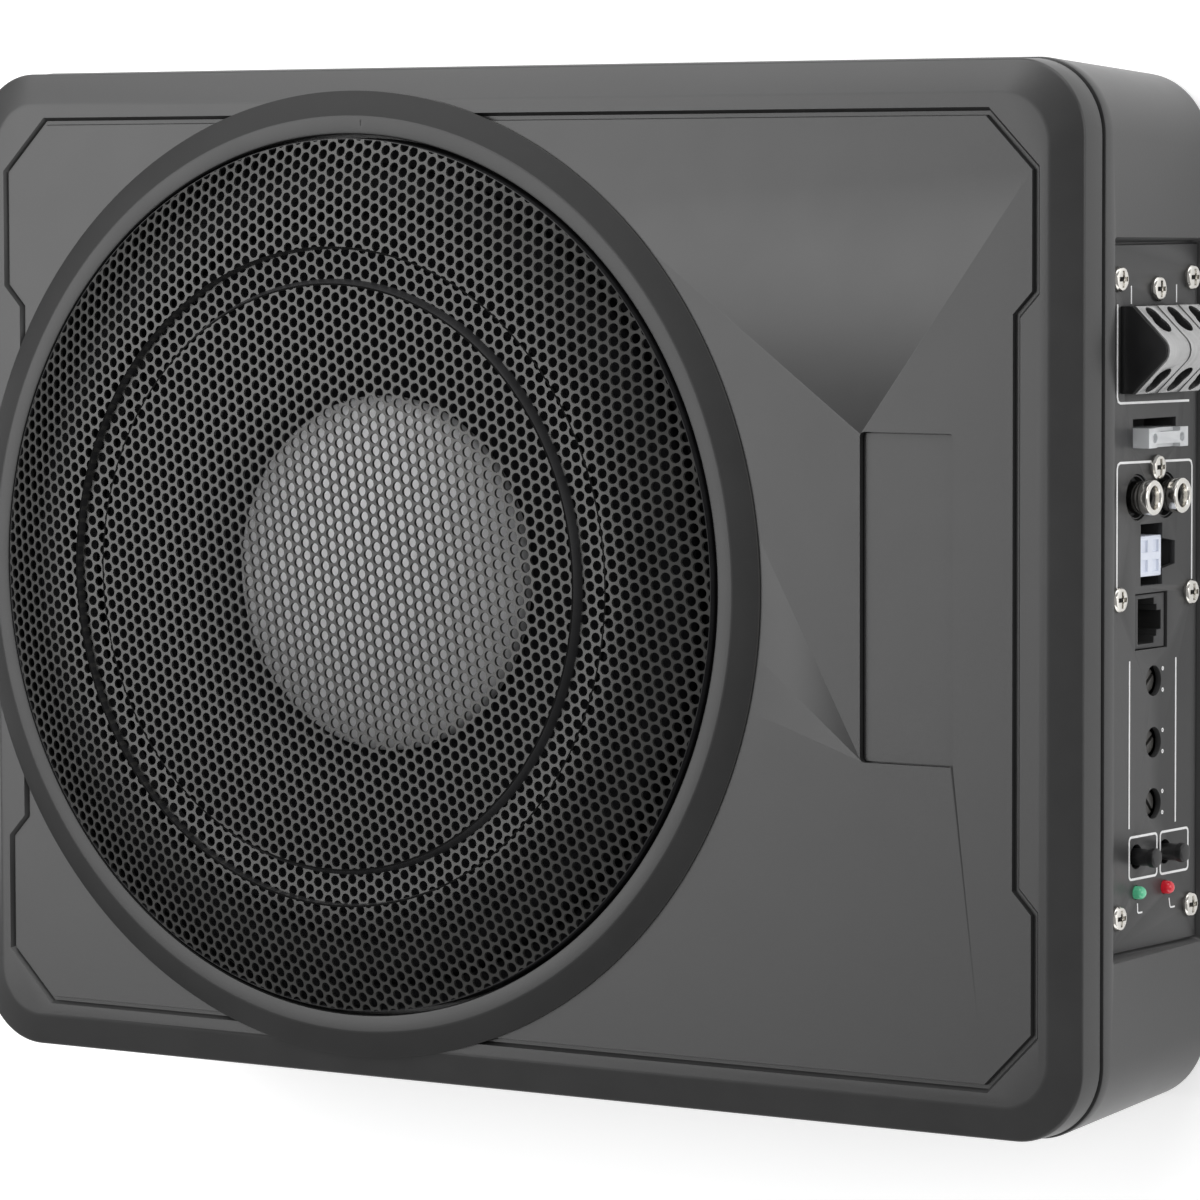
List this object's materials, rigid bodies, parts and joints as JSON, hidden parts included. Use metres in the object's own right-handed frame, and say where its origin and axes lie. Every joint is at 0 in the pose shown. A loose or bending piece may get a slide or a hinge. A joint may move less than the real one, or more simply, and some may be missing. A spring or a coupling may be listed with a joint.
{
  "type": "powered car subwoofer",
  "caption": "Slim powered car subwoofer: cast enclosure with a round domed grille over the driver and a control and connection panel on one end.",
  "frame": {"origin": "centre of the enclosure's back, which lies on the floor", "axes": "+Z out of the grille, +X towards the end with the controls, +Y towards the power terminals' end of the panel"},
  "size_m": [0.3381, 0.2508, 0.0791],
  "materials": {
    "cast_black": "satin",
    "panel_paint": "satin",
    "rubber": "matte",
    "steel": "satin",
    "brass": "satin",
    "grille_steel": "satin",
    "cone_paper": "matte",
    "cap_metal": "satin",
    "spider_cloth": "matte",
    "coil_former": "matte",
    "copper": "satin",
    "motor_steel": "satin",
    "ferrite": "matte",
    "wire_jacket": "satin",
    "nickel": "polished",
    "black_plastic": "matte",
    "terminal_steel": "satin",
    "fuse_clear": "gloss",
    "white_plastic": "satin",
    "jack_plastic": "matte",
    "shaft_plastic": "satin",
    "led_green": "gloss",
    "led_red": "gloss",
    "board_green": "satin",
    "bare_aluminium": "satin",
    "capacitor_sleeve": "gloss"
  },
  "bodies": {
    "enclosure": {"front_cover": "cast_black", "rear_housing": "cast_black", "cover_gasket": "rubber", "cover_screws": "steel", "mounting_inserts": "brass", "grille_ring": "cast_black", "grille": "grille_steel", "driver_basket": "cast_black", "driver_screws": "steel", "surround": "rubber", "spider": "spider_cloth", "top_plate": "motor_steel", "magnet": "ferrite", "back_plate": "motor_steel", "terminal_tag": "brass", "tinsel_leads": "copper", "speaker_leads": "wire_jacket", "end_panel": "panel_paint", "panel_screws": "nickel", "jack_screws": "nickel", "terminal_block": "black_plastic", "terminal_plates": "terminal_steel", "clamp_screws": "steel", "fuse_socket": "black_plastic", "fuse": "fuse_clear", "rca_jack_front": "nickel", "rca_jack_rear": "nickel", "rca_insulators": "black_plastic", "rca_block": "black_plastic", "header_frame": "black_plastic", "header": "white_plastic", "header_pins": "brass", "remote_jack": "jack_plastic", "remote_contacts": "brass", "gain_control": "black_plastic", "boost_control": "black_plastic", "low_pass_control": "black_plastic", "phase_switch": "black_plastic", "auto_switch": "black_plastic", "power_led": "led_green", "protect_led": "led_red", "circuit_board": "board_green", "board_standoffs": "steel", "heatsink": "bare_aluminium", "power_transistors": "black_plastic", "capacitors": "capacitor_sleeve", "choke": "copper"},
    "cone_assembly": {"cone": "cone_paper", "dust_cap": "cap_metal", "voice_coil_former": "coil_former", "voice_coil": "copper"},
    "gain_knob": {"gain_shaft": "shaft_plastic"},
    "boost_knob": {"boost_shaft": "shaft_plastic"},
    "low_pass_knob": {"low_pass_shaft": "shaft_plastic"},
    "phase_key": {"phase_button": "black_plastic"},
    "auto_key": {"auto_button": "black_plastic"}
  },
  "joints": [
    {"name": "cone_travel", "type": "slide", "parent": "enclosure", "child": "cone_assembly", "axis": [0, 0, 1], "range_m": [-0.005, 0.005], "stiffness_N_per_m": 2200, "deforming": ["surround", "spider", "tinsel_leads"]},
    {"name": "gain_turn", "type": "hinge", "parent": "enclosure", "child": "gain_knob", "pos_m": [0.1593, -0.0199, 0.0268], "axis": [1, 0, 0], "range_deg": [-140, 140]},
    {"name": "boost_turn", "type": "hinge", "parent": "enclosure", "child": "boost_knob", "pos_m": [0.1593, -0.0344, 0.0268], "axis": [1, 0, 0], "range_deg": [-140, 140]},
    {"name": "low_pass_turn", "type": "hinge", "parent": "enclosure", "child": "low_pass_knob", "pos_m": [0.1593, -0.0488, 0.0268], "axis": [1, 0, 0], "range_deg": [-140, 140]},
    {"name": "phase_press", "type": "slide", "parent": "enclosure", "child": "phase_key", "axis": [-1, 0, 0], "range_m": [0, 0.0025], "stiffness_N_per_m": 250},
    {"name": "auto_on_press", "type": "slide", "parent": "enclosure", "child": "auto_key", "axis": [-1, 0, 0], "range_m": [0, 0.0025], "stiffness_N_per_m": 250}
  ]
}
